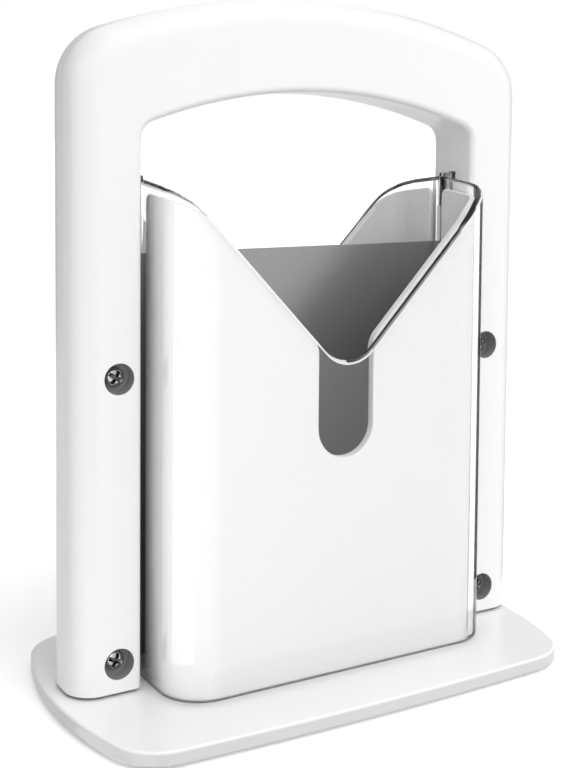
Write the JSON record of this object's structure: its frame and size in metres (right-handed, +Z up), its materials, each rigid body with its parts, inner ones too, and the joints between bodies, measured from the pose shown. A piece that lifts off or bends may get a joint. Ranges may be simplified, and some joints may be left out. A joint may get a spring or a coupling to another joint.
{
  "type": "bagel guillotine slicer",
  "caption": "Countertop bagel slicer: a white U-shaped handle with a dark blade and clear shield lifts off a V-notched white cradle on a rounded base plate.",
  "frame": {"origin": "middle of the whole object's footprint, on the surface that it stands on", "axes": "+Z up, -Y towards the front that the picture shows, +X to the right seen from the front"},
  "size_m": [0.1835, 0.1054, 0.235],
  "materials": {
    "white_handle": "glossy white moulded plastic",
    "white_cradle": "white moulded plastic, satin inside",
    "white_base": "glossy white moulded plastic",
    "clear_acrylic": "clear polished acrylic",
    "coated_blade": "dark grey satin release coating on steel",
    "steel_screw": "bright zinc-plated steel",
    "foot_rubber": "pale grey rubber"
  },
  "bodies": {
    "stand": {"base_plate": "white_base", "cradle": "white_cradle", "foot_front_left": "foot_rubber", "foot_front_right": "foot_rubber", "foot_rear_left": "foot_rubber", "foot_rear_right": "foot_rubber", "base_screw_front_left": "steel_screw", "base_screw_front_right": "steel_screw", "base_screw_rear_left": "steel_screw", "base_screw_rear_right": "steel_screw"},
    "guillotine_unit": {"handle_front_half": "white_handle", "handle_rear_half": "white_handle", "blade": "coated_blade", "shield_front": "clear_acrylic", "shield_rear": "clear_acrylic", "shield_spacer_left": "white_handle", "shield_spacer_right": "white_handle", "handle_screw_lower_left": "steel_screw", "handle_screw_lower_right": "steel_screw", "handle_screw_upper_left": "steel_screw", "handle_screw_upper_right": "steel_screw"}
  },
  "joints": [
    {"name": "handle_lift", "type": "slide", "parent": "stand", "child": "guillotine_unit", "axis": [0, 0, 1], "range_m": [0, 0.175]}
  ]
}
